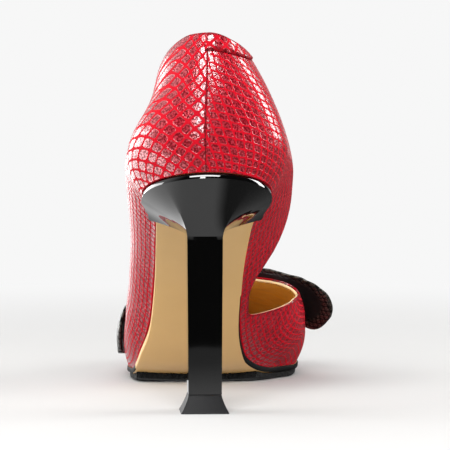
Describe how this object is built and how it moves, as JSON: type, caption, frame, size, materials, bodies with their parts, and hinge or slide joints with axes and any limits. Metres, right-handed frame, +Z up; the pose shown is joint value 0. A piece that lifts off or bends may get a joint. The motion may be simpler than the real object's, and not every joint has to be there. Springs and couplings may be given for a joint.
{
  "type": "high-heeled shoe",
  "caption": "Left high-heeled shoe cut low along the inner side, with a flat bow on the vamp and a flared heel on a slim rectangular stem.",
  "frame": {"origin": "bottom centre of the bounding box, on the floor", "axes": "+Z up, +Y from the heel to the toe, +X towards the inner side of the left foot"},
  "size_m": [0.094, 0.222, 0.1469],
  "materials": {
    "red_leather": "embossed snake pattern, high gloss",
    "tan_leather": "smooth",
    "sole_leather": "smooth, edge painted black",
    "black_rubber": "rough",
    "black_gloss": "high gloss",
    "black_matte": "satin",
    "black_leather": "embossed snake pattern, satin"
  },
  "bodies": {
    "root": {"upper": "red_leather", "back_tab": "red_leather", "insole": "tan_leather", "outsole": "sole_leather", "half_sole": "black_rubber", "heel": "black_gloss", "heel_tip": "black_matte", "bow_wing_outer": "black_leather", "bow_wing_inner": "black_leather", "bow_knot": "black_leather"}
  },
  "joints": []
}
